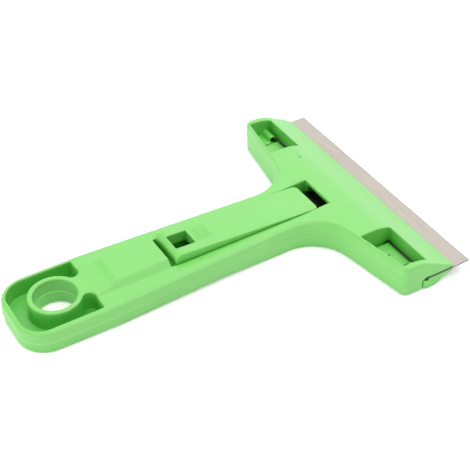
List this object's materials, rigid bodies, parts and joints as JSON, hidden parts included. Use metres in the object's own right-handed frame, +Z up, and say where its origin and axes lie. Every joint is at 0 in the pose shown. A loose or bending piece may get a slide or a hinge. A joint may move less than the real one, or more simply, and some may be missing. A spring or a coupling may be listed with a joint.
{
  "type": "adhesive scraper",
  "caption": "T-shaped plastic scraper with a wide straight blade held in a hinged clamp jaw by a cam lever in the handle.",
  "frame": {"origin": "middle of the bounding box at its underside, the level of the clamp jaw's lowest line", "axes": "+X from the hanging hole towards the blade, +Y along the blade, +Z up out of the lever side"},
  "size_m": [0.2134, 0.1504, 0.0222],
  "materials": {
    "green_plastic": "satin injection-moulded light green",
    "blade_steel": "fine ground steel with a ground edge",
    "pin_steel": "plain bright steel",
    "spring_steel": "dark oiled spring steel"
  },
  "bodies": {
    "root": {"body": "green_plastic", "handle_cover": "green_plastic", "cover_screw_rear": "pin_steel", "cover_screw_left": "pin_steel", "cover_screw_right": "pin_steel", "lever_pin": "pin_steel", "jaw_pin_left": "pin_steel", "jaw_pin_right": "pin_steel", "return_spring": "spring_steel"},
    "lever": {"lever": "green_plastic"},
    "jaw": {"clamp_jaw": "green_plastic", "pressure_plate": "spring_steel"},
    "blade": {"blade": "blade_steel"}
  },
  "joints": [
    {"name": "lever_hinge", "type": "hinge", "parent": "root", "child": "lever", "pos_m": [0.05555, 0, 0.0134], "axis": [0, 1, 0], "range_deg": [0, 90]},
    {"name": "jaw_hinge", "type": "hinge", "parent": "root", "child": "jaw", "pos_m": [0.07505, 0, 0.0044], "axis": [0, 1, 0], "range_deg": [0, 3], "deforming": ["return_spring"]},
    {"name": "blade_slide", "type": "slide", "parent": "root", "child": "blade", "axis": [1, 0, 0], "range_m": [0, 0.017]}
  ],
  "couplings": [
    {"joint": "jaw_hinge", "follows": "lever_hinge", "ratio": 0.033333}
  ]
}
